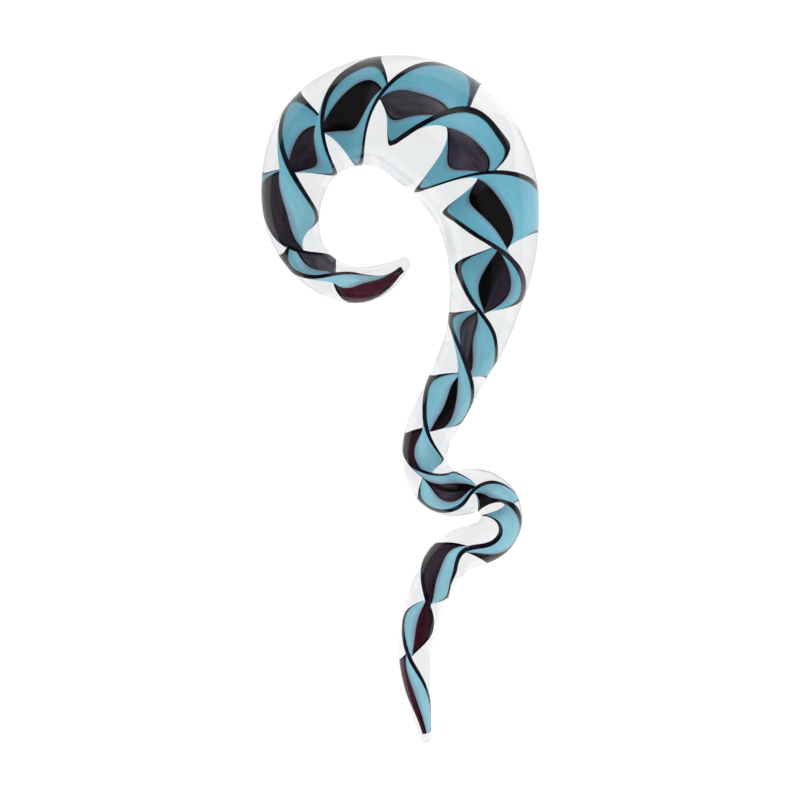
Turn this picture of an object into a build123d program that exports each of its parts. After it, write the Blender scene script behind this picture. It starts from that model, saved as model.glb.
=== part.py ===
"""A spiral ear taper: a tapered rod of clear glass, hooked, looped and pointed, around a twisted
ribbon of dark glass that carries a teal stripe along each edge of each face.

It lies flat. X runs across the hook, Y up towards the hook's crown, Z away from the surface.
Lengths are in millimetres.
"""
import os
from math import cos, pi, radians, sin

import numpy as np
from build123d import *

# The rod
THICKEST = 11.0          # diameter at the shoulder, where the ear is stretched
HOOK_WIDTH = 24.0        # across the hook
HOOK_DROP = 32.4         # from the hook's crown to the foot of the stem
LOOP_WIDTH = 10.5        # across the small loop under the stem
LOOP_ROD = 4.0           # rod diameter in the loop
TAIL_LENGTH = 17.2       # from the middle of the loop down to the tail's end
LOOP_ACROSS = 17.2       # middle of the loop, from the hook's outer side
LOOP_BELOW = 5.7         # middle of the loop, below the foot of the stem

# The ribbon inside it
RIBBON_SHARE = 0.64      # half width of the ribbon, as a share of the rod's radius
FIRST_WIDER = 0.07       # how much further than that its first edge reaches, and its second less
CORE_SKIN = 0.10         # thickness of the dark core at a rod of no thickness
CORE_SHARE = 0.045       # further thickness, as a share of the rod's radius
STRIPE_SKIN = 0.05       # thickness of a stripe, taken the same way
STRIPE_SHARE = 0.012
STRIPE_OUTER = 0.94      # where a stripe ends, as a share of the half width
STRIPE_LEAST = 0.06      # the narrowest that it gets, and the least bare core between two
SEAT_GAP = 0.02          # between a stripe and the core
CASING_GAP = 0.03        # between the ribbon and the glass around it
BED_REACH = 1.05         # half width of the ribbon's bed, as a share of the ribbon's
RIBBON_INSET = 0.45      # from each end of the rod to the ribbon's ends

# How finely the rod and the ribbon are followed
ROD_SECTIONS = 110
ROD_RUNS = 4             # the rod's skin is drawn in this many lengths
RIBBON_SECTIONS = 240
STRIPE_RAILS = 5         # rails across a stripe
BARE_RAILS = 4           # and across the bare glass between the stripes, from stripe to stripe
CROWN_ANGLES = (20, 40, 60, 78)

# Each row is one place on the rod's middle line: how far across and down, the rod's thickness and
# how high its underside stands.
HOOK_COLUMNS = ("across", "down", "thick", "lift")
HOOK = (
    (0.509, 0.551, 0.115, 0.082),
    (0.432, 0.590, 0.230, 0.064),
    (0.357, 0.606, 0.281, 0.045),
    (0.261, 0.591, 0.297, 0.027),
    (0.189, 0.555, 0.316, 0.009),
    (0.139, 0.503, 0.362, 0.000),
    (0.109, 0.411, 0.450, 0.000),
    (0.125, 0.317, 0.538, 0.000),
    (0.182, 0.232, 0.660, 0.000),
    (0.283, 0.174, 0.767, 0.000),
    (0.406, 0.151, 0.861, 0.000),
    (0.535, 0.166, 0.961, 0.000),
    (0.647, 0.212, 1.003, 0.000),
    (0.735, 0.282, 0.964, 0.000),
    (0.792, 0.367, 0.880, 0.000),
    (0.820, 0.461, 0.764, 0.000),
    (0.822, 0.556, 0.666, 0.000),
    (0.802, 0.650, 0.564, 0.000),
    (0.769, 0.744, 0.486, 0.000),
    (0.715, 0.830, 0.421, 0.000),
    (0.658, 0.916, 0.402, 0.000),
    (0.601, 0.999, 0.373, 0.000),
)
# Across and above are measured from the middle of the loop, as shares of its width.
LOOP_COLUMNS = ("across", "above", "thick", "lift")
LOOP = (
    (-0.300, 0.370, 0.979, 0.000),
    (-0.267, 0.205, 0.989, 0.000),
    (-0.160, 0.086, 1.010, 0.000),
    (-0.024, 0.058, 0.989, 0.040),
    (0.116, 0.075, 0.937, 0.120),
    (0.241, 0.034, 0.910, 0.200),
    (0.318, -0.074, 0.905, 0.280),
    (0.316, -0.208, 0.905, 0.360),
    (0.233, -0.317, 0.905, 0.430),
    (0.109, -0.367, 0.916, 0.460),
)
# Across and below are measured from the middle of the loop, as shares of the tail's length.
TAIL_COLUMNS = ("across", "below", "thick", "lift")
TAIL = (
    (-0.010, 0.254, 0.937, 0.450),
    (-0.079, 0.314, 0.926, 0.420),
    (-0.132, 0.401, 0.884, 0.360),
    (-0.178, 0.502, 0.821, 0.300),
    (-0.217, 0.640, 0.768, 0.275),
    (-0.232, 0.787, 0.684, 0.250),
    (-0.220, 0.934, 0.553, 0.250),
    (-0.194, 1.084, 0.384, 0.250),
    (-0.178, 1.191, 0.221, 0.250),
)
# One row for each row above, in the same order: the ribbon's half turns; how wide it is, against
# its usual width; its shift off the rod's middle and how much it leans away from the outer side of
# the bend, both as shares; how far its edges run ahead (curl) and bow towards one face (cup), in
# degrees; and where the two stripes start, as shares of its half width.
RIBBON_COLUMNS = ("turns", "wide", "shift", "lean", "curl", "cup", "first", "second")
RIBBON = (
    (-1.00, 0.70, 0.15, 0.00, -10, -15, 0.60, -0.70),
    (-0.70, 0.75, 0.26, 0.00, -10, -15, 0.45, -0.80),
    (-0.38, 0.85, 0.20, 0.00, -20, -15, 0.40, -0.87),
    (0.09, 1.00, 0.00, 0.00, -30, -15, -0.20, -0.87),
    (0.65, 1.00, -0.05, 0.00, -40, -15, 0.17, -0.87),
    (1.11, 1.00, 0.10, 0.00, -30, -15, 0.10, -0.87),
    (1.56, 1.05, 0.20, 0.15, -5, -15, 0.12, -0.87),
    (2.02, 1.08, 0.25, 0.15, -20, -15, 0.05, -0.68),
    (2.62, 1.12, 0.14, 0.15, -35, -15, 0.10, -0.47),
    (3.36, 1.00, 0.06, 0.05, -30, 5, 0.22, -0.30),
    (3.88, 1.06, 0.16, 0.22, -20, 5, 0.50, -0.55),
    (4.45, 0.94, 0.18, -0.10, -5, -10, 0.16, -0.40),
    (5.02, 0.82, 0.14, -0.05, 0, -34, 0.28, -0.28),
    (5.68, 0.97, 0.08, 0.30, 0, 15, 0.33, -0.32),
    (6.38, 1.00, 0.08, 0.00, 0, 12, 0.15, -0.40),
    (6.82, 1.00, 0.16, 0.00, 0, 8, 0.22, -0.28),
    (7.34, 1.00, 0.14, 0.00, 0, 8, 0.32, -0.43),
    (7.86, 1.00, 0.00, 0.00, 0, 0, 0.42, -0.53),
    (8.36, 1.00, -0.05, 0.10, 35, -15, 0.06, -0.50),
    (8.87, 1.08, 0.08, 0.00, 38, -18, 0.24, -0.36),
    (9.42, 1.06, 0.06, 0.00, 30, -12, 0.00, -0.40),
    (9.96, 1.00, -0.10, 0.00, 20, 0, -0.08, -0.80),
    (10.42, 1.00, -0.15, 0.00, 22, -5, -0.28, -0.87),
    (10.88, 1.00, -0.10, 0.00, 32, -15, -0.15, -0.50),
    (11.31, 1.00, 0.00, 0.00, 22, -12, 0.30, -0.40),
    (11.67, 1.00, 0.00, 0.00, 8, -4, 0.48, -0.42),
    (12.00, 1.00, 0.00, 0.00, 0, 0, 0.25, -0.50),
    (12.42, 1.00, 0.05, 0.20, 0, 0, -0.15, -0.75),
    (13.12, 1.00, 0.30, 0.45, 0, 0, -0.45, -0.87),
    (13.72, 1.00, 0.45, 0.35, 0, 0, -0.66, -0.87),
    (13.90, 1.00, 0.38, 0.15, 0, 0, -0.35, -0.87),
    (13.96, 1.00, 0.15, 0.00, 0, 0, -0.20, -0.87),
    (14.06, 1.00, 0.00, 0.00, 0, 0, -0.28, -0.87),
    (14.35, 1.00, 0.00, 0.20, 0, 0, -0.08, -0.87),
    (14.68, 1.00, 0.00, 0.20, 0, 0, 0.00, -0.87),
    (15.02, 1.00, 0.12, 0.00, 0, 0, 0.10, -0.87),
    (15.53, 1.00, 0.00, 0.00, 0, 0, 0.10, -0.87),
    (16.00, 1.00, -0.25, 0.00, 0, 0, -0.15, -0.87),
    (16.41, 1.00, -0.12, 0.00, 0, 0, -0.22, -0.87),
    (16.78, 1.00, 0.00, 0.00, 0, 0, -0.45, -0.87),
    (17.00, 1.00, 0.00, 0.00, 0, 0, -0.50, -0.87),
)


def rod_rows():
    """Every row in millimetres: x, y, radius, lift, and then the ribbon's own columns."""
    places = []
    for across, down, thick, lift in HOOK:
        places.append((across * HOOK_WIDTH, -down * HOOK_DROP, thick * THICKEST / 2, lift * THICKEST))
    middle = (LOOP_ACROSS, -HOOK_DROP - LOOP_BELOW)
    for across, above, thick, lift in LOOP:
        places.append((middle[0] + across * LOOP_WIDTH, middle[1] + above * LOOP_WIDTH,
                       thick * LOOP_ROD / 2, lift * LOOP_ROD))
    for across, below, thick, lift in TAIL:
        places.append((middle[0] + across * TAIL_LENGTH, middle[1] - below * TAIL_LENGTH,
                       thick * LOOP_ROD / 2, lift * LOOP_ROD))
    return np.c_[np.array(places), np.array(RIBBON)]


def natural_bend(stations, values):
    """Second derivatives of the smooth curve through the values, straight at both ends."""
    count = len(stations)
    steps = np.diff(stations)
    matrix = np.eye(count)
    right = np.zeros((count, values.shape[1]))
    for i in range(1, count - 1):
        matrix[i, i - 1:i + 2] = steps[i - 1], 2 * (steps[i - 1] + steps[i]), steps[i]
        slopes = (values[i + 1] - values[i]) / steps[i] - (values[i] - values[i - 1]) / steps[i - 1]
        right[i] = 6 * slopes
    return np.linalg.solve(matrix, right)


class Rod:
    """The rod's middle line, radius and ribbon, smooth from the hook's tip to the tail's end."""

    def __init__(self):
        rows = rod_rows()
        self.values = np.c_[rows[:, 0], rows[:, 1], rows[:, 2] + rows[:, 3], rows[:, 2], rows[:, 4:]]
        gaps = np.linalg.norm(np.diff(self.values[:, :3], axis=0), axis=1)
        self.stations = np.r_[0, np.cumsum(gaps)]
        self.bend = natural_bend(self.stations, self.values)
        self.length = self.stations[-1]

    def values_at(self, along):
        """x, y, z, radius and the ribbon's columns at a distance along the rod."""
        k = int(np.clip(np.searchsorted(self.stations, along) - 1, 0, len(self.stations) - 2))
        step = self.stations[k + 1] - self.stations[k]
        back, ahead = (self.stations[k + 1] - along) / step, (along - self.stations[k]) / step
        straight = back * self.values[k] + ahead * self.values[k + 1]
        bowed = (back ** 3 - back) * self.bend[k] + (ahead ** 3 - ahead) * self.bend[k + 1]
        return straight + bowed * step ** 2 / 6

    def section(self, along):
        """The middle, the direction along the rod, and the directions up and sideways across it."""
        nudge = self.length * 1e-4
        start, end = max(0, along - nudge), min(self.length, along + nudge)
        forward = self.values_at(end)[:3] - self.values_at(start)[:3]
        forward = forward / np.linalg.norm(forward)
        up = np.array([0, 0, 1]) - forward * forward[2]
        up = up / np.linalg.norm(up)
        return self.values_at(along), forward, up, np.cross(up, forward)


def ribbon_point(rod, along, across, height):
    """A point of the ribbon: across as a share of its half width, height off its mid surface."""
    values, forward, up, side = rod.section(along)
    radius, turns, wide, shift, lean, curl, cup = values[3:10]
    middle = values[:3] + side * shift * radius

    def on_mid_surface(share):
        edge = 1 if share > 0 else -1
        angle = pi * turns + radians(curl + edge * cup) * share ** 2
        half = RIBBON_SHARE * wide * (1 + edge * FIRST_WIDER) * radius
        reach = share * half * (1 - edge * lean * sin(angle))
        return middle + (up * cos(angle) + side * sin(angle)) * reach

    nudge = 0.02
    run = on_mid_surface(across + nudge) - on_mid_surface(across - nudge)
    return on_mid_surface(across) + np.cross(run / np.linalg.norm(run), forward) * height


def stripe_shares(rod, along, edge):
    """Where a stripe starts and ends across the ribbon; edge is 1 for the first, -1 the second."""
    first, second = rod.values_at(along)[10:12]
    second = max(second, STRIPE_LEAST - STRIPE_OUTER)
    first = min(max(first, second + STRIPE_LEAST), STRIPE_OUTER - STRIPE_LEAST)
    return (first, STRIPE_OUTER) if edge > 0 else (second, -STRIPE_OUTER)


def core_half(radius):
    """Half the core's thickness in a rod of this radius."""
    return (CORE_SKIN + CORE_SHARE * radius) / 2


def stripe_depth(radius):
    """A stripe's thickness in a rod of this radius."""
    return STRIPE_SKIN + STRIPE_SHARE * radius


def stripe_rails(rod, along, edge):
    """Where a stripe's rails lie across the ribbon, from the bare glass out to the edge."""
    return spread(*stripe_shares(rod, along, edge), STRIPE_RAILS)


def ribbon_rails(rod, along, reach=1.0):
    """Where the whole ribbon's rails lie across it: those of the stripes, and more between them,
    so that a stripe lies flat on the core and in its bed."""
    first, second = stripe_rails(rod, along, 1), stripe_rails(rod, along, -1)
    bare = spread(second[0], first[0], BARE_RAILS)[1:-1]
    return [-reach] + second[::-1] + bare + first + [reach]


def ribbon_solid(rod, rails_at, low, high, inset=RIBBON_INSET):
    """A solid strip of the ribbon: its rails across are a function of the place along the rod, and
    its two heights are functions of the rod's radius."""
    stations = np.linspace(inset, rod.length - inset, RIBBON_SECTIONS)
    rails = [[] for _ in range(2 * len(rails_at(stations[0])))]
    for along in stations:
        shares = rails_at(along)
        radius = rod.values_at(along)[3]
        corners = [(share, low(radius)) for share in shares]
        corners += [(share, high(radius)) for share in shares[::-1]]
        for rail, (share, height) in zip(rails, corners):
            rail.append(Vector(*ribbon_point(rod, along, share, height)))
    places = list((stations - stations[0]) / (stations[-1] - stations[0]))
    edges = [Edge.make_spline(rail, parameters=places) for rail in rails]
    faces = [Face.make_surface_from_curves(a, b) for a, b in zip(edges, edges[1:] + edges[:1])]
    for end in (0, -1):
        faces.append(Face(Wire.make_polygon([rail[end] for rail in rails], close=True)))
    return Solid(Shell(faces))


def spread(start, end, count):
    """Evenly spaced shares from start to end."""
    return list(np.linspace(start, end, count))


def round_section(rod, along, share=1.0, beyond=0.0):
    """A circle across the rod, narrowed to a share and set a way beyond the rod's end."""
    values, forward, up, side = rod.section(along)
    centre = values[:3] + forward * beyond
    plane = Plane(origin=tuple(centre), x_dir=tuple(side), z_dir=tuple(forward))
    return Wire.make_circle(values[3] * share, plane)


def crown_sections(rod, end, direction):
    """The shrinking circles that round off one end, from the rod outwards."""
    radius = rod.values_at(end)[3]
    return [round_section(rod, end, cos(radians(angle)), direction * radius * sin(radians(angle)))
            for angle in CROWN_ANGLES]


def rod_solid(rod):
    """The outside of the rod: round sections along the middle line, rounded off at both ends."""
    circles = crown_sections(rod, 0, -1)[::-1]
    circles += [round_section(rod, along) for along in np.linspace(0, rod.length, ROD_SECTIONS)]
    circles += crown_sections(rod, rod.length, 1)
    marks = [round(share * (len(circles) - 1)) for share in np.linspace(0, 1, ROD_RUNS + 1)]
    faces = [Face(circles[0]), Face(circles[-1])]
    for start, end in zip(marks, marks[1:]):
        run = Solid.make_loft(circles[start:end + 1])
        faces += [face for face in run.faces() if face.geom_type != GeomType.PLANE]
    return Solid(Shell(faces))


def resting_place(rod):
    """The point under the middle of the rod's box, from round sections along it and its crowns."""
    places = [(along, 1, 0) for along in np.linspace(0, rod.length, 4 * ROD_SECTIONS)]
    for end, direction in ((0, -1), (rod.length, 1)):
        radius = rod.values_at(end)[3]
        places += [(end, cos(radians(angle)), direction * radius * sin(radians(angle)))
                   for angle in CROWN_ANGLES]
    low, high = np.full(3, np.inf), np.full(3, -np.inf)
    for along, share, beyond in places:
        values, forward, up, side = rod.section(along)
        centre = values[:3] + forward * beyond
        reach = values[3] * share * np.hypot(up, side)
        low, high = np.minimum(low, centre - reach), np.maximum(high, centre + reach)
    return (low[0] + high[0]) / 2, (low[1] + high[1]) / 2, low[2]


def build_pieces(rod):
    """Every piece by its name, in the rod's own place."""
    pieces = {}
    pieces["dark_core"] = ribbon_solid(rod, lambda along: ribbon_rails(rod, along),
                                       lambda r: -core_half(r), core_half)

    def stripe_low(radius):
        return core_half(radius) + SEAT_GAP

    def stripe_high(radius):
        return stripe_low(radius) + stripe_depth(radius)

    for edge_name, edge in (("first", 1), ("second", -1)):
        for face_name, face_side in (("front", 1), ("back", -1)):
            piece = ribbon_solid(rod, lambda along, e=edge: stripe_rails(rod, along, e),
                                 lambda r, f=face_side: f * stripe_low(r),
                                 lambda r, f=face_side: f * stripe_high(r))
            pieces[f"teal_stripe_{edge_name}_{face_name}"] = piece

    def bed_half(radius):
        return stripe_high(radius) + CASING_GAP

    bed = ribbon_solid(rod, lambda along: ribbon_rails(rod, along, BED_REACH),
                       lambda r: -bed_half(r), bed_half, inset=RIBBON_INSET - CASING_GAP)
    pieces["clear_casing"] = rod_solid(rod) - bed
    return pieces


def main():
    os.makedirs("parts", exist_ok=True)
    rod = Rod()
    across, along, below = resting_place(rod)
    for name, piece in build_pieces(rod).items():
        export_step(piece.moved(Location((-across, -along, -below))), f"parts/{name}.step")


main()
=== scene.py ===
"""The looks of a spiral ear taper: a hooked, looped and pointed rod of clear glass, around a twisted
ribbon of dark glass that carries a teal stripe along each edge of each face.

It lies flat. X runs across the hook, Y up towards the hook's crown, Z away from the surface.
The tables are in shares of the sizes named here, which are in millimetres.
"""
from functools import lru_cache
from math import cos, pi, radians, sin

import bmesh
import bpy
import numpy as np
from mathutils import Matrix, Vector

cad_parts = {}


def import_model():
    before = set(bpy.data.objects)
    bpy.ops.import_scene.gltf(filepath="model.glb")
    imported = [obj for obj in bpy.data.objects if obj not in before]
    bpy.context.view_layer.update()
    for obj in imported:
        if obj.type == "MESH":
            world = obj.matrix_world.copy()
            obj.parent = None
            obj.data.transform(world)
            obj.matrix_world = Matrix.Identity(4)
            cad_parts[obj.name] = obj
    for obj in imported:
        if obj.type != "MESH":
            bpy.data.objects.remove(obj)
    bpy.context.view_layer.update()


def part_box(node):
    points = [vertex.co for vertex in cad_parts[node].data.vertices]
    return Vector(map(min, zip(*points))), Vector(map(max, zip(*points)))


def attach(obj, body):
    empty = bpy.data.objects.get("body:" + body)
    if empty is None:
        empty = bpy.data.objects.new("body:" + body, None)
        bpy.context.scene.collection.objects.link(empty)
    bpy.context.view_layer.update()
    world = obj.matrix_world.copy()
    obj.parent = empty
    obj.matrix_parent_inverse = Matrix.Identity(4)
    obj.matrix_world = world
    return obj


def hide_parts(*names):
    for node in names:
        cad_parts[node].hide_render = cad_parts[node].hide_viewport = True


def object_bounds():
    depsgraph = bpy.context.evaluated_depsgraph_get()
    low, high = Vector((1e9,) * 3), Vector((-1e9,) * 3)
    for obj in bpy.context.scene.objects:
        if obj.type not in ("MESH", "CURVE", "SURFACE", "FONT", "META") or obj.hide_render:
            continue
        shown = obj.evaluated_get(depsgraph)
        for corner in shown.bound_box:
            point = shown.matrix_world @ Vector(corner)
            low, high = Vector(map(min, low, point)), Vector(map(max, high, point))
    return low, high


MM = 0.001

# The rod
THICKEST = 11.0
HOOK_WIDTH = 24.0
HOOK_DROP = 32.4
LOOP_WIDTH = 10.5
LOOP_ROD = 4.0
TAIL_LENGTH = 17.2
LOOP_ACROSS = 17.2
LOOP_BELOW = 5.7

# The ribbon inside it
RIBBON_SHARE = 0.64
FIRST_WIDER = 0.07
CORE_SKIN = 0.10
CORE_SHARE = 0.045
STRIPE_SKIN = 0.05
STRIPE_SHARE = 0.012
STRIPE_OUTER = 0.94
STRIPE_LEAST = 0.06
SEAT_GAP = 0.02
RIBBON_INSET = 0.45

# How finely the pieces are followed
ROD_RINGS = 460
ROD_SIDES = 80
CROWN_RINGS = 9
RIBBON_RUNS = 600
RIBBON_STEPS = 16

# Each row is one place on the rod's middle line: how far across and down, the rod's thickness and
# how high its underside stands.
HOOK = (
    (0.509, 0.551, 0.115, 0.082),
    (0.432, 0.590, 0.230, 0.064),
    (0.357, 0.606, 0.281, 0.045),
    (0.261, 0.591, 0.297, 0.027),
    (0.189, 0.555, 0.316, 0.009),
    (0.139, 0.503, 0.362, 0.000),
    (0.109, 0.411, 0.450, 0.000),
    (0.125, 0.317, 0.538, 0.000),
    (0.182, 0.232, 0.660, 0.000),
    (0.283, 0.174, 0.767, 0.000),
    (0.406, 0.151, 0.861, 0.000),
    (0.535, 0.166, 0.961, 0.000),
    (0.647, 0.212, 1.003, 0.000),
    (0.735, 0.282, 0.964, 0.000),
    (0.792, 0.367, 0.880, 0.000),
    (0.820, 0.461, 0.764, 0.000),
    (0.822, 0.556, 0.666, 0.000),
    (0.802, 0.650, 0.564, 0.000),
    (0.769, 0.744, 0.486, 0.000),
    (0.715, 0.830, 0.421, 0.000),
    (0.658, 0.916, 0.402, 0.000),
    (0.601, 0.999, 0.373, 0.000),
)
LOOP = (
    (-0.300, 0.370, 0.979, 0.000),
    (-0.267, 0.205, 0.989, 0.000),
    (-0.160, 0.086, 1.010, 0.000),
    (-0.024, 0.058, 0.989, 0.040),
    (0.116, 0.075, 0.937, 0.120),
    (0.241, 0.034, 0.910, 0.200),
    (0.318, -0.074, 0.905, 0.280),
    (0.316, -0.208, 0.905, 0.360),
    (0.233, -0.317, 0.905, 0.430),
    (0.109, -0.367, 0.916, 0.460),
)
TAIL = (
    (-0.010, 0.254, 0.937, 0.450),
    (-0.079, 0.314, 0.926, 0.420),
    (-0.132, 0.401, 0.884, 0.360),
    (-0.178, 0.502, 0.821, 0.300),
    (-0.217, 0.640, 0.768, 0.275),
    (-0.232, 0.787, 0.684, 0.250),
    (-0.220, 0.934, 0.553, 0.250),
    (-0.194, 1.084, 0.384, 0.250),
    (-0.178, 1.191, 0.221, 0.250),
)
# One row for each row above, in the same order: the ribbon's half turns; how wide it is, against
# its usual width; its shift off the rod's middle and how much it leans away from the outer side of
# the bend, both as shares; how far its edges run ahead (curl) and bow towards one face (cup), in
# degrees; and where the two stripes start, as shares of its half width.
RIBBON = (
    (-1.00, 0.70, 0.15, 0.00, -10, -15, 0.60, -0.70),
    (-0.70, 0.75, 0.26, 0.00, -10, -15, 0.45, -0.80),
    (-0.38, 0.85, 0.20, 0.00, -20, -15, 0.40, -0.87),
    (0.09, 1.00, 0.00, 0.00, -30, -15, -0.20, -0.87),
    (0.65, 1.00, -0.05, 0.00, -40, -15, 0.17, -0.87),
    (1.11, 1.00, 0.10, 0.00, -30, -15, 0.10, -0.87),
    (1.56, 1.05, 0.20, 0.15, -5, -15, 0.12, -0.87),
    (2.02, 1.08, 0.25, 0.15, -20, -15, 0.05, -0.68),
    (2.62, 1.12, 0.14, 0.15, -35, -15, 0.10, -0.47),
    (3.36, 1.00, 0.06, 0.05, -30, 5, 0.22, -0.30),
    (3.88, 1.06, 0.16, 0.22, -20, 5, 0.50, -0.55),
    (4.45, 0.94, 0.18, -0.10, -5, -10, 0.16, -0.40),
    (5.02, 0.82, 0.14, -0.05, 0, -34, 0.28, -0.28),
    (5.68, 0.97, 0.08, 0.30, 0, 15, 0.33, -0.32),
    (6.38, 1.00, 0.08, 0.00, 0, 12, 0.15, -0.40),
    (6.82, 1.00, 0.16, 0.00, 0, 8, 0.22, -0.28),
    (7.34, 1.00, 0.14, 0.00, 0, 8, 0.32, -0.43),
    (7.86, 1.00, 0.00, 0.00, 0, 0, 0.42, -0.53),
    (8.36, 1.00, -0.05, 0.10, 35, -15, 0.06, -0.50),
    (8.87, 1.08, 0.08, 0.00, 38, -18, 0.24, -0.36),
    (9.42, 1.06, 0.06, 0.00, 30, -12, 0.00, -0.40),
    (9.96, 1.00, -0.10, 0.00, 20, 0, -0.08, -0.80),
    (10.42, 1.00, -0.15, 0.00, 22, -5, -0.28, -0.87),
    (10.88, 1.00, -0.10, 0.00, 32, -15, -0.15, -0.50),
    (11.31, 1.00, 0.00, 0.00, 22, -12, 0.30, -0.40),
    (11.67, 1.00, 0.00, 0.00, 8, -4, 0.48, -0.42),
    (12.00, 1.00, 0.00, 0.00, 0, 0, 0.25, -0.50),
    (12.42, 1.00, 0.05, 0.20, 0, 0, -0.15, -0.75),
    (13.12, 1.00, 0.30, 0.45, 0, 0, -0.45, -0.87),
    (13.72, 1.00, 0.45, 0.35, 0, 0, -0.66, -0.87),
    (13.90, 1.00, 0.38, 0.15, 0, 0, -0.35, -0.87),
    (13.96, 1.00, 0.15, 0.00, 0, 0, -0.20, -0.87),
    (14.06, 1.00, 0.00, 0.00, 0, 0, -0.28, -0.87),
    (14.35, 1.00, 0.00, 0.20, 0, 0, -0.08, -0.87),
    (14.68, 1.00, 0.00, 0.20, 0, 0, 0.00, -0.87),
    (15.02, 1.00, 0.12, 0.00, 0, 0, 0.10, -0.87),
    (15.53, 1.00, 0.00, 0.00, 0, 0, 0.10, -0.87),
    (16.00, 1.00, -0.25, 0.00, 0, 0, -0.15, -0.87),
    (16.41, 1.00, -0.12, 0.00, 0, 0, -0.22, -0.87),
    (16.78, 1.00, 0.00, 0.00, 0, 0, -0.45, -0.87),
    (17.00, 1.00, 0.00, 0.00, 0, 0, -0.50, -0.87),
)

# Finishes
GLASS_IOR = 1.47
# Painted shade: a grey tint darkens what is seen through the clear glass, in place of the glass's own
# shadow on the surface below.
GLASS_SHADE_TINT = (0.82, 0.825, 0.83, 1)
BLACK = (0.006, 0.005, 0.005, 1)
WINE = (0.110, 0.018, 0.042, 1)
MAROON = (0.050, 0.010, 0.022, 1)
# The greys of the dark glass below are partly its own tint and partly painted sheen: the studio light
# mirrored on the casing over it.
DUSK_SHEEN = (0.050, 0.036, 0.052, 1)
SMOKE_SHEEN = (0.090, 0.070, 0.100, 1)
ASH_SHEEN = (0.120, 0.110, 0.125, 1)
NAVY = (0.010, 0.010, 0.020, 1)
# Painted reflection: the tent's light mirrored on the casing over one stretch of the dark edge.
SLATE_REFLECTION = (0.075, 0.085, 0.125, 1)
DAMSON = (0.036, 0.022, 0.046, 1)
PLUM = (0.270, 0.250, 0.370, 1)
TEAL_DEEP = (0.15, 0.50, 0.62, 1)
TEAL_COLOUR = (0.24, 0.62, 0.76, 1)
TEAL_PALE = (0.40, 0.76, 0.88, 1)
CASING_TINT = (0.985, 0.985, 0.985, 1)    # what the casing lets through to the surface
RIBBON_ROUGHNESS = 0.35
WAVE_SCALE = 220         # the flame's faint waves in the casing, to a metre
WAVE_DEPTH = 0.0002      # in metres
THICK_ROD = 3.2          # radius of rod with the full teal
THIN_ROD = 1.6           # radius of rod with the palest
EDGE_START = 0.82        # the dark edge begins here, as a share of the half width squared
EDGE_FULL = 0.88

# The dark glass: the share of the rod's length, its colour on the first stripe's side and its
# colour on the second's. Black, maroon and wine are the glass's own colour; the greys (dusk, smoke,
# ash) are partly its own tint and partly painted sheen, the studio light mirrored on the casing.
DARK_TINTS_AND_SHEEN = (
    (0.000, WINE, WINE),
    (0.055, WINE, WINE),
    (0.070, ASH_SHEEN, ASH_SHEEN),
    (0.105, ASH_SHEEN, SMOKE_SHEEN),
    (0.125, DUSK_SHEEN, DUSK_SHEEN),
    (0.225, DUSK_SHEEN, DUSK_SHEEN),
    (0.240, BLACK, BLACK),
    (0.275, BLACK, BLACK),
    (0.295, ASH_SHEEN, ASH_SHEEN),
    (0.335, ASH_SHEEN, SMOKE_SHEEN),
    (0.350, SMOKE_SHEEN, SMOKE_SHEEN),
    (0.390, SMOKE_SHEEN, SMOKE_SHEEN),
    (0.402, BLACK, BLACK),
    (0.460, BLACK, BLACK),
    (0.480, BLACK, DAMSON),
    (0.510, BLACK, DAMSON),
    (0.525, MAROON, ASH_SHEEN),
    (0.570, MAROON, ASH_SHEEN),
    (0.590, BLACK, BLACK),
    (0.620, BLACK, BLACK),
    (0.645, DUSK_SHEEN, MAROON),
    (0.680, DUSK_SHEEN, MAROON),
    (0.700, SMOKE_SHEEN, BLACK),
    (0.720, BLACK, BLACK),
    (0.780, BLACK, DUSK_SHEEN),
    (0.850, BLACK, DUSK_SHEEN),
    (0.875, WINE, MAROON),
    (1.000, WINE, WINE),
)

# The dark edges of the ribbon, outside the stripes, in the same way; the slate stretch is a painted
# reflection.
EDGE_SHADES = (
    (0.000, WINE, WINE),
    (0.055, WINE, WINE),
    (0.065, NAVY, NAVY),
    (0.300, NAVY, NAVY),
    # Slate here is a painted reflection of the tent on the casing over the dark edge.
    (0.315, SLATE_REFLECTION, NAVY),
    (0.345, SLATE_REFLECTION, NAVY),
    (0.360, NAVY, NAVY),
    (0.395, NAVY, NAVY),
    (0.410, DAMSON, NAVY),
    (0.440, DAMSON, NAVY),
    (0.455, NAVY, DAMSON),
    (0.560, NAVY, DAMSON),
    (0.580, NAVY, NAVY),
    (0.900, NAVY, NAVY),
    (0.930, NAVY, WINE),
    (1.000, NAVY, WINE),
)

# The studio
CAMERA_HEIGHT = 0.6
VIEW_WIDTH = 0.0690      # how much of the surface the picture takes in
ALL_ROUND_LIGHT = 1.3    # the even light on the surface and on the ribbon
TENT_LIGHT = 0.15        # how bright the white tent is that the glass mirrors
PATCH_LIGHT = 1.0        # and the soft patch of light in it
PATCH_PLACE = (0.36, 0.50, 0.79)         # the direction in which the patch lies
PATCH_SOFTNESS = (0.86, 0.98)            # how near to it the patch begins, and is full
# The dark opening in the tent, by direction: its left part, and how far its right part reaches
# sideways and down.
OPENING_LEFT = (-0.53, -0.01)
OPENING_RIGHT = (-0.01, 0.60)
OPENING_RIGHT_DEPTH = (-0.42, -0.02)


# The rod's middle line and the ribbon

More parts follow.
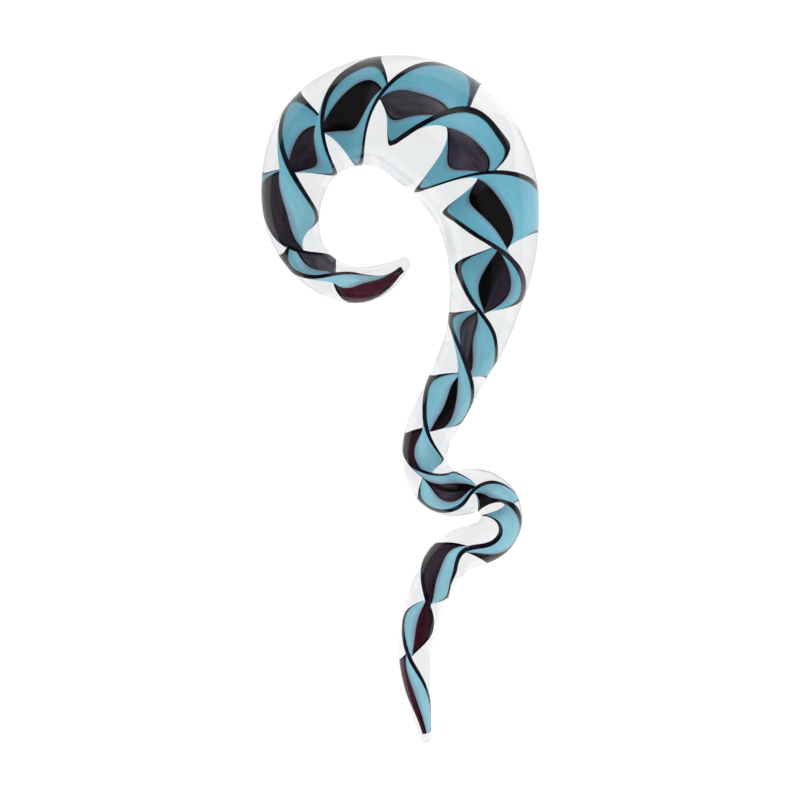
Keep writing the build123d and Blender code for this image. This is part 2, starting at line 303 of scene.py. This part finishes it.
def rod_rows():
    """Every row in millimetres: x, y, radius, lift, and then the ribbon's own columns."""
    places = []
    for across, down, thick, lift in HOOK:
        places.append((across * HOOK_WIDTH, -down * HOOK_DROP, thick * THICKEST / 2, lift * THICKEST))
    middle = (LOOP_ACROSS, -HOOK_DROP - LOOP_BELOW)
    for across, above, thick, lift in LOOP:
        places.append((middle[0] + across * LOOP_WIDTH, middle[1] + above * LOOP_WIDTH,
                       thick * LOOP_ROD / 2, lift * LOOP_ROD))
    for across, below, thick, lift in TAIL:
        places.append((middle[0] + across * TAIL_LENGTH, middle[1] - below * TAIL_LENGTH,
                       thick * LOOP_ROD / 2, lift * LOOP_ROD))
    return np.c_[np.array(places), np.array(RIBBON)]


def natural_bend(stations, values):
    """Second derivatives of the smooth curve through the values, straight at both ends."""
    count = len(stations)
    steps = np.diff(stations)
    matrix = np.eye(count)
    right = np.zeros((count, values.shape[1]))
    for i in range(1, count - 1):
        matrix[i, i - 1:i + 2] = steps[i - 1], 2 * (steps[i - 1] + steps[i]), steps[i]
        slopes = (values[i + 1] - values[i]) / steps[i] - (values[i] - values[i - 1]) / steps[i - 1]
        right[i] = 6 * slopes
    return np.linalg.solve(matrix, right)


class Rod:
    """The rod's middle line, radius and ribbon, smooth from the hook's tip to the tail's end."""

    def __init__(self):
        rows = rod_rows()
        self.values = np.c_[rows[:, 0], rows[:, 1], rows[:, 2] + rows[:, 3], rows[:, 2], rows[:, 4:]]
        gaps = np.linalg.norm(np.diff(self.values[:, :3], axis=0), axis=1)
        self.stations = np.r_[0, np.cumsum(gaps)]
        self.bend = natural_bend(self.stations, self.values)
        self.length = self.stations[-1]
        self.place = Vector((0, 0, 0))

    def values_at(self, along):
        """x, y, z, radius and the ribbon's columns at a distance along the rod."""
        k = int(np.clip(np.searchsorted(self.stations, along) - 1, 0, len(self.stations) - 2))
        step = self.stations[k + 1] - self.stations[k]
        back, ahead = (self.stations[k + 1] - along) / step, (along - self.stations[k]) / step
        straight = back * self.values[k] + ahead * self.values[k + 1]
        bowed = (back ** 3 - back) * self.bend[k] + (ahead ** 3 - ahead) * self.bend[k + 1]
        return straight + bowed * step ** 2 / 6

    @lru_cache(maxsize=None)
    def section(self, along):
        """The values, the direction along the rod, and the directions up and sideways across it."""
        nudge = self.length * 1e-4
        start, end = max(0, along - nudge), min(self.length, along + nudge)
        forward = Vector(self.values_at(end)[:3] - self.values_at(start)[:3]).normalized()
        up = Vector((0, 0, 1))
        up = (up - forward * up.dot(forward)).normalized()
        return self.values_at(along), forward, up, up.cross(forward)

    def ring(self, along, share=1.0, beyond=0.0):
        """The matrix that sets a flat circle of radius 1 across the rod, narrowed to a share and
        set a way beyond the rod's end."""
        values, forward, up, side = self.section(along)
        centre = (Vector(values[:3]) + forward * beyond + self.place) * MM
        radius = values[3] * share * MM
        turned = Matrix((side, up, forward)).transposed().to_4x4()
        return Matrix.Translation(centre) @ turned @ Matrix.Scale(radius, 4)

    def stripe_shares(self, along, edge):
        """Where a stripe starts and ends across the ribbon; edge is 1 for the first, -1 the second."""
        first, second = self.values_at(along)[10:12]
        second = max(second, STRIPE_LEAST - STRIPE_OUTER)
        first = min(max(first, second + STRIPE_LEAST), STRIPE_OUTER - STRIPE_LEAST)
        return (first, STRIPE_OUTER) if edge > 0 else (second, -STRIPE_OUTER)

    def ribbon_point(self, along, across, height):
        """A point of the ribbon: across as a share of its half width, height off its mid surface."""
        values, forward, up, side = self.section(along)
        radius, turns, wide, shift, lean, curl, cup = values[3:10]
        middle = Vector(values[:3]) + side * shift * radius

        def on_mid_surface(share):
            edge = 1 if share > 0 else -1
            angle = pi * turns + radians(curl + edge * cup) * share ** 2
            half = RIBBON_SHARE * wide * (1 + edge * FIRST_WIDER) * radius
            reach = share * half * (1 - edge * lean * sin(angle))
            return middle + (up * cos(angle) + side * sin(angle)) * reach

        run = on_mid_surface(across + 0.02) - on_mid_surface(across - 0.02)
        spot = on_mid_surface(across) + run.normalized().cross(forward) * height(radius)
        return (spot + self.place) * MM


def core_half(radius):
    """Half the core's thickness in a rod of this radius."""
    return (CORE_SKIN + CORE_SHARE * radius) / 2


def stripe_low(radius):
    """How far a stripe's inner face lies off the ribbon's mid surface."""
    return core_half(radius) + SEAT_GAP


def stripe_high(radius):
    """How far a stripe's outer face lies off the ribbon's mid surface."""
    return stripe_low(radius) + STRIPE_SKIN + STRIPE_SHARE * radius


# Shapes

def finish_mesh(bm, name, material, smooth=True):
    """Turns a finished bmesh into a piece in the scene."""
    mesh = bpy.data.meshes.new(name)
    bm.to_mesh(mesh)
    bm.free()
    mesh.polygons.foreach_set("use_smooth", [smooth] * len(mesh.polygons))
    mesh.materials.append(material)
    piece = bpy.data.objects.new(name, mesh)
    bpy.context.scene.collection.objects.link(piece)
    return piece


def draw_rod(rod, name, material):
    """The clear rod: one ring drawn along the middle line, rounded off and closed at both ends."""
    angles = [radians(88 * step / CROWN_RINGS) for step in range(CROWN_RINGS, 0, -1)]
    first, last = rod.values_at(0)[3], rod.values_at(rod.length)[3]
    rings = [rod.ring(0, cos(angle), -first * sin(angle)) for angle in angles]
    rings += [rod.ring(along) for along in np.linspace(0, rod.length, ROD_RINGS)]
    rings += [rod.ring(rod.length, cos(angle), last * sin(angle)) for angle in reversed(angles)]
    bm = bmesh.new()
    circle = bmesh.ops.create_circle(bm, segments=ROD_SIDES, radius=1, matrix=rings[0])
    edges = list({edge for vert in circle["verts"] for edge in vert.link_edges})
    bmesh.ops.edgeloop_fill(bm, edges=edges)
    for before, after in zip(rings, rings[1:]):
        drawn = bmesh.ops.extrude_edge_only(bm, edges=edges)["geom"]
        verts = [part for part in drawn if isinstance(part, bmesh.types.BMVert)]
        moved = set(verts)
        edges = [part for part in drawn if isinstance(part, bmesh.types.BMEdge)
                 and moved.issuperset(part.verts)]
        bmesh.ops.transform(bm, matrix=after @ before.inverted(), verts=verts)
    bmesh.ops.edgeloop_fill(bm, edges=edges)
    bmesh.ops.recalc_face_normals(bm, faces=bm.faces)
    return finish_mesh(bm, name, material)


def lay_ribbon(rod, name, shares_at, low, high, material):
    """A strip of the ribbon between two shares across it and two heights off its mid surface."""
    bm = bmesh.new()
    bmesh.ops.create_grid(bm, x_segments=RIBBON_STEPS, y_segments=RIBBON_RUNS, size=0.5)
    layer = {key: bm.verts.layers.float.new(key)
             for key in ("across", "along", "rod_radius", "from_start", "to_edge")}
    for vert in bm.verts:
        along = RIBBON_INSET + (vert.co.y + 0.5) * (rod.length - 2 * RIBBON_INSET)
        start, end = shares_at(along)
        radius = rod.values_at(along)[3]
        strip_width = abs(end - start) * RIBBON_SHARE * radius
        vert[layer["across"]] = start + (vert.co.x + 0.5) * (end - start)
        vert[layer["along"]] = along
        vert[layer["rod_radius"]] = radius
        vert[layer["from_start"]] = (0.5 + vert.co.x) * strip_width
        vert[layer["to_edge"]] = (0.5 - vert.co.x) * strip_width
        vert.co = rod.ribbon_point(along, vert[layer["across"]], low)
    top = bmesh.ops.extrude_face_region(bm, geom=bm.faces[:])["geom"]
    for vert in top:
        if isinstance(vert, bmesh.types.BMVert):
            vert.co = rod.ribbon_point(vert[layer["along"]], vert[layer["across"]], high)
    bmesh.ops.recalc_face_normals(bm, faces=bm.faces)
    uv = bm.loops.layers.uv.new("strip")
    for face in bm.faces:
        for loop in face.loops:
            loop[uv].uv = (loop.vert[layer["across"]] / 2 + 0.5, loop.vert[layer["along"]] / rod.length)
    piece = finish_mesh(bm, name, material)
    piece.data.set_sharp_from_angle(angle=radians(50))
    return piece


# Finishes

def new_finish(name):
    """A material with its shader and its node tree."""
    material = bpy.data.materials.new(name)
    material.use_nodes = True
    return material, material.node_tree.nodes["Principled BSDF"], material.node_tree


def wire(tree, start, end):
    """Joins one node's output to another's input."""
    tree.links.new(start, end)


def drawn_streaks_group():
    """Fine streaks along a strip of drawn glass, as a mask from 0 to 1."""
    group = bpy.data.node_groups.new("drawn_streaks", "ShaderNodeTree")
    face = group.interface
    face.new_socket("Across", in_out="INPUT", socket_type="NodeSocketFloat")
    face.new_socket("Along", in_out="INPUT", socket_type="NodeSocketFloat")
    face.new_socket("Fineness", in_out="INPUT", socket_type="NodeSocketFloat")
    face.new_socket("Streaks", in_out="OUTPUT", socket_type="NodeSocketFloat")
    nodes = group.nodes
    start, end = nodes.new("NodeGroupInput"), nodes.new("NodeGroupOutput")
    fine = nodes.new("ShaderNodeMath")
    fine.operation = "MULTIPLY"
    wire(group, start.outputs["Across"], fine.inputs[0])
    wire(group, start.outputs["Fineness"], fine.inputs[1])
    slow = nodes.new("ShaderNodeMath")
    slow.operation = "MULTIPLY"
    slow.inputs[1].default_value = 0.35
    wire(group, start.outputs["Along"], slow.inputs[0])
    place = nodes.new("ShaderNodeCombineXYZ")
    wire(group, fine.outputs[0], place.inputs["X"])
    wire(group, slow.outputs[0], place.inputs["Y"])
    noise = nodes.new("ShaderNodeTexNoise")
    noise.inputs["Scale"].default_value = 1.0
    noise.inputs["Detail"].default_value = 4.0
    noise.inputs["Roughness"].default_value = 0.6
    wire(group, place.outputs[0], noise.inputs["Vector"])
    spread = nodes.new("ShaderNodeMapRange")
    spread.inputs["From Min"].default_value = 0.3
    spread.inputs["From Max"].default_value = 0.7
    wire(group, noise.outputs["Fac"], spread.inputs["Value"])
    wire(group, spread.outputs["Result"], end.inputs["Streaks"])
    return group


def attribute(tree, name):
    """A measure that the ribbon's pieces carry at each of their points."""
    node = tree.nodes.new("ShaderNodeAttribute")
    node.attribute_name = name
    return node.outputs["Fac"]


def ramp(tree, value, stops):
    """A colour ramp over a value; stops are (place, colour)."""
    node = tree.nodes.new("ShaderNodeValToRGB")
    band = node.color_ramp
    while len(band.elements) < len(stops):
        band.elements.new(0.5)
    for element, (place, colour) in zip(band.elements, stops):
        element.position = place
        element.color = colour
    wire(tree, value, node.inputs["Fac"])
    return node.outputs["Color"]


def grey(light):
    """A colour that is equally light in red, green and blue."""
    return (light, light, light, 1)


def mixed(tree, mask, first, second):
    """First where the mask is 0, second where it is 1."""
    node = tree.nodes.new("ShaderNodeMix")
    node.data_type = "RGBA"
    wire(tree, mask, node.inputs["Factor"])
    for socket, colour in ((node.inputs["A"], first), (node.inputs["B"], second)):
        if isinstance(colour, tuple):
            socket.default_value = colour
        else:
            wire(tree, colour, socket)
    return node.outputs["Result"]


def mapped(tree, value, low, high, to_low=0.0, to_high=1.0):
    """The value stretched so that low gives to_low and high gives to_high."""
    node = tree.nodes.new("ShaderNodeMapRange")
    node.inputs["From Min"].default_value = low
    node.inputs["From Max"].default_value = high
    node.inputs["To Min"].default_value = to_low
    node.inputs["To Max"].default_value = to_high
    wire(tree, value, node.inputs["Value"])
    return node.outputs["Result"]


def times(tree, first, second, operation="MULTIPLY"):
    """Two values multiplied, or put together by another operation."""
    node = tree.nodes.new("ShaderNodeMath")
    node.operation = operation
    wire(tree, first, node.inputs[0])
    wire(tree, second, node.inputs[1])
    return node.outputs[0]


def band(tree, value, low, high, soft):
    """1 where the value lies between low and high, and 0 beyond."""
    above = mapped(tree, value, low - soft, low + soft)
    below = mapped(tree, value, high + soft, high - soft)
    return times(tree, above, below)


def clear_glass():
    """Polished clear glass, faintly wavy from the flame, with a grey tint that is painted shade. Light
    goes through it to the surface below.
    """
    material, shader, tree = new_finish("clear_glass")
    # The grey base colour is painted shade.
    shader.inputs["Base Color"].default_value = GLASS_SHADE_TINT
    shader.inputs["Roughness"].default_value = 0.0
    shader.inputs["IOR"].default_value = GLASS_IOR
    shader.inputs["Transmission Weight"].default_value = 1.0
    place = tree.nodes.new("ShaderNodeTexCoord").outputs["Object"]
    waves = tree.nodes.new("ShaderNodeTexNoise")
    waves.inputs["Scale"].default_value = WAVE_SCALE
    waves.inputs["Detail"].default_value = 1.0
    wire(tree, place, waves.inputs["Vector"])
    bump = tree.nodes.new("ShaderNodeBump")
    bump.inputs["Strength"].default_value = 0.06
    bump.inputs["Distance"].default_value = WAVE_DEPTH
    wire(tree, waves.outputs["Fac"], bump.inputs["Height"])
    wire(tree, bump.outputs["Normal"], shader.inputs["Normal"])
    passing = tree.nodes.new("ShaderNodeBsdfTransparent")
    passing.inputs["Color"].default_value = CASING_TINT
    rays = tree.nodes.new("ShaderNodeLightPath")
    choice = tree.nodes.new("ShaderNodeMixShader")
    wire(tree, rays.outputs["Is Shadow Ray"], choice.inputs["Fac"])
    wire(tree, shader.outputs["BSDF"], choice.inputs[1])
    wire(tree, passing.outputs["BSDF"], choice.inputs[2])
    wire(tree, choice.outputs["Shader"], tree.nodes["Material Output"].inputs["Surface"])
    return material


def streaks_in(tree, streaks, fineness):
    """The fine streaks of drawn glass, laid along a ribbon's piece."""
    group = tree.nodes.new("ShaderNodeGroup")
    group.node_tree = streaks
    group.inputs["Fineness"].default_value = fineness
    wire(tree, attribute(tree, "across"), group.inputs["Across"])
    wire(tree, attribute(tree, "along"), group.inputs["Along"])
    return group.outputs["Streaks"]


def shades_along(tree, table):
    """The colours of a table of shades, by the place along the rod and the side of the ribbon."""
    share = mapped(tree, attribute(tree, "along"), 0, Rod().length)
    first = ramp(tree, share, [(place, colour) for place, colour, _ in table])
    second = ramp(tree, share, [(place, colour) for place, _, colour in table])
    return mixed(tree, mapped(tree, attribute(tree, "across"), 0.04, -0.04), first, second)


def dark_glass(streaks):
    """Dark glass that changes along the rod and from side to side, between black, smoke and wine, with
    painted sheen in its greys.
    """
    material, shader, tree = new_finish("dark_glass")
    deeper = mapped(tree, streaks_in(tree, streaks, 5), 0.1, 0.9, 0.0, 0.6)
    # The greys along the rod carry painted sheen, in place of the studio light mirrored over the dark
    # glass.
    body = mixed(tree, deeper, shades_along(tree, DARK_TINTS_AND_SHEEN), BLACK)
    across = attribute(tree, "across")
    edge = mapped(tree, times(tree, across, across), EDGE_START, EDGE_FULL)
    # The edge colours include the slate stretch of painted reflection.
    wire(tree, mixed(tree, edge, body, shades_along(tree, EDGE_SHADES)), shader.inputs["Base Color"])
    shader.inputs["Roughness"].default_value = RIBBON_ROUGHNESS
    shader.inputs["Specular IOR Level"].default_value = 0.0
    return material


def teal_glass(streaks):
    """Teal glass in drawn streaks, paler in thin rod, with a plum inner border and a dark outer one."""
    material, shader, tree = new_finish("teal_glass")
    from_start, to_edge = attribute(tree, "from_start"), attribute(tree, "to_edge")
    rod_radius = attribute(tree, "rod_radius")
    body = mixed(tree, mapped(tree, rod_radius, THICK_ROD, THIN_ROD), TEAL_COLOUR, TEAL_PALE)
    deeper = mapped(tree, streaks_in(tree, streaks, 12), 0.3, 1.0, 0.0, 0.45)
    body = mixed(tree, deeper, body, TEAL_DEEP)
    body = mixed(tree, mapped(tree, from_start, 0.38, 0.0, 0.0, 0.8), body, PLUM)
    body = mixed(tree, mapped(tree, from_start, 0.06, 0.0), body, BLACK)
    to_edge_share = times(tree, to_edge, rod_radius, "DIVIDE")
    edge = mapped(tree, to_edge_share, 0.055, 0.030)
    # The edge colours include the slate stretch of painted reflection.
    body = mixed(tree, edge, body, shades_along(tree, EDGE_SHADES))
    sliver = mapped(tree, times(tree, from_start, to_edge, "ADD"), 0.45, 0.25)
    wire(tree, mixed(tree, sliver, body, BLACK), shader.inputs["Base Color"])
    shader.inputs["Roughness"].default_value = RIBBON_ROUGHNESS
    shader.inputs["Specular IOR Level"].default_value = 0.0
    return material


# The studio

def pale_floor():
    """A plain white surface, lit enough from within to stay bright under the glass."""
    bm = bmesh.new()
    bmesh.ops.create_grid(bm, x_segments=1, y_segments=1, size=0.6)
    material, shader, tree = new_finish("pale_surface")
    shader.inputs["Base Color"].default_value = (0.1, 0.1, 0.1, 1)
    shader.inputs["Roughness"].default_value = 0.9
    shader.inputs["Specular IOR Level"].default_value = 0.0
    shader.inputs["Emission Color"].default_value = (1, 1, 1, 1)
    shader.inputs["Emission Strength"].default_value = 1.0
    floor = finish_mesh(bm, "pale_floor", material, smooth=False)


def soft_surroundings():
    """Even white light from all round. What the glass mirrors is a white tent with a dark opening
    overhead, where the camera looks in, and a soft patch of light over the hook's outer side."""
    world = bpy.data.worlds.new("white_tent")
    bpy.context.scene.world = world
    world.use_nodes = True
    tree = world.node_tree
    direction = tree.nodes.new("ShaderNodeTexCoord").outputs["Generated"]
    parts = tree.nodes.new("ShaderNodeSeparateXYZ")
    wire(tree, direction, parts.inputs[0])
    overhead = band(tree, parts.outputs["X"], *OPENING_LEFT, 0.03)
    beside = times(tree, band(tree, parts.outputs["X"], *OPENING_RIGHT, 0.03),
                   band(tree, parts.outputs["Y"], *OPENING_RIGHT_DEPTH, 0.05))
    opening = times(tree, times(tree, overhead, beside, "MAXIMUM"),
                    mapped(tree, parts.outputs["Z"], 0.1, 0.3))
    towards_patch = tree.nodes.new("ShaderNodeVectorMath")
    towards_patch.operation = "DOT_PRODUCT"
    towards_patch.inputs[1].default_value = Vector(PATCH_PLACE).normalized()
    wire(tree, direction, towards_patch.inputs[0])
    patch = mapped(tree, towards_patch.outputs["Value"], *PATCH_SOFTNESS)
    tent = mixed(tree, opening, grey(TENT_LIGHT), grey(0.0))
    tent = mixed(tree, patch, tent, grey(PATCH_LIGHT))
    rays = tree.nodes.new("ShaderNodeLightPath").outputs
    mirrored = times(tree, rays["Is Glossy Ray"], rays["Is Transmission Ray"], "SUBTRACT")
    light = mixed(tree, mirrored, grey(ALL_ROUND_LIGHT), tent)
    wire(tree, light, tree.nodes["Background"].inputs["Color"])


def overhead_camera():
    """A camera straight above the middle of the taper."""
    low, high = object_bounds()
    camera = bpy.data.cameras.new("camera")
    camera.sensor_width = 36
    camera.lens = 36 * CAMERA_HEIGHT / VIEW_WIDTH
    camera.clip_start = 0.01
    stand = bpy.data.objects.new("camera", camera)
    stand.location = ((low[0] + high[0]) / 2, (low[1] + high[1]) / 2, CAMERA_HEIGHT)
    bpy.context.scene.collection.objects.link(stand)
    bpy.context.scene.camera = stand


def settle(rod):
    """Moves the rod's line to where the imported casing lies, by the box around its rings."""
    corners = [rod.ring(along) @ Vector((cos(turn), sin(turn), 0))
               for along in np.linspace(0, rod.length, 300) for turn in np.linspace(0, 2 * pi, 24)]
    for end, direction in ((0, -1), (rod.length, 1)):
        radius = rod.values_at(end)[3]
        corners += [rod.ring(end, cos(angle), direction * radius * sin(angle))
                    @ Vector((cos(turn), sin(turn), 0))
                    for angle in np.linspace(0, radians(78), 8) for turn in np.linspace(0, 2 * pi, 24)]
    corners = np.array(corners)
    low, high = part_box("clear_casing")
    own_low, own_high = corners.min(0), corners.max(0)
    rod.place = Vector(((low[0] + high[0] - own_low[0] - own_high[0]) / 2,
                        (low[1] + high[1] - own_low[1] - own_high[1]) / 2,
                        low[2] - own_low[2])) / MM


def main():
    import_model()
    overhead_camera()
    soft_surroundings()
    pale_floor()

    rod = Rod()
    settle(rod)
    casing = draw_rod(rod, "clear_rod", clear_glass())
    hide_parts("clear_casing")
    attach(casing, "root")

    streaks = drawn_streaks_group()
    core = lay_ribbon(rod, "dark_ribbon", lambda along: (-1, 1), lambda r: -core_half(r), core_half,
                      dark_glass(streaks))
    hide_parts("dark_core")
    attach(core, "root")

    teal = teal_glass(streaks)
    for edge_name, edge in (("first", 1), ("second", -1)):
        for face_name, face_side in (("front", 1), ("back", -1)):
            stripe = lay_ribbon(rod, f"teal_{edge_name}_{face_name}",
                                lambda along, e=edge: rod.stripe_shares(along, e),
                                lambda r, f=face_side: f * stripe_low(r),
                                lambda r, f=face_side: f * stripe_high(r), teal)
            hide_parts(f"teal_stripe_{edge_name}_{face_name}")
            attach(stripe, "root")

    bpy.context.scene.view_settings.view_transform = "Standard"
    bpy.context.view_layer.update()


main()
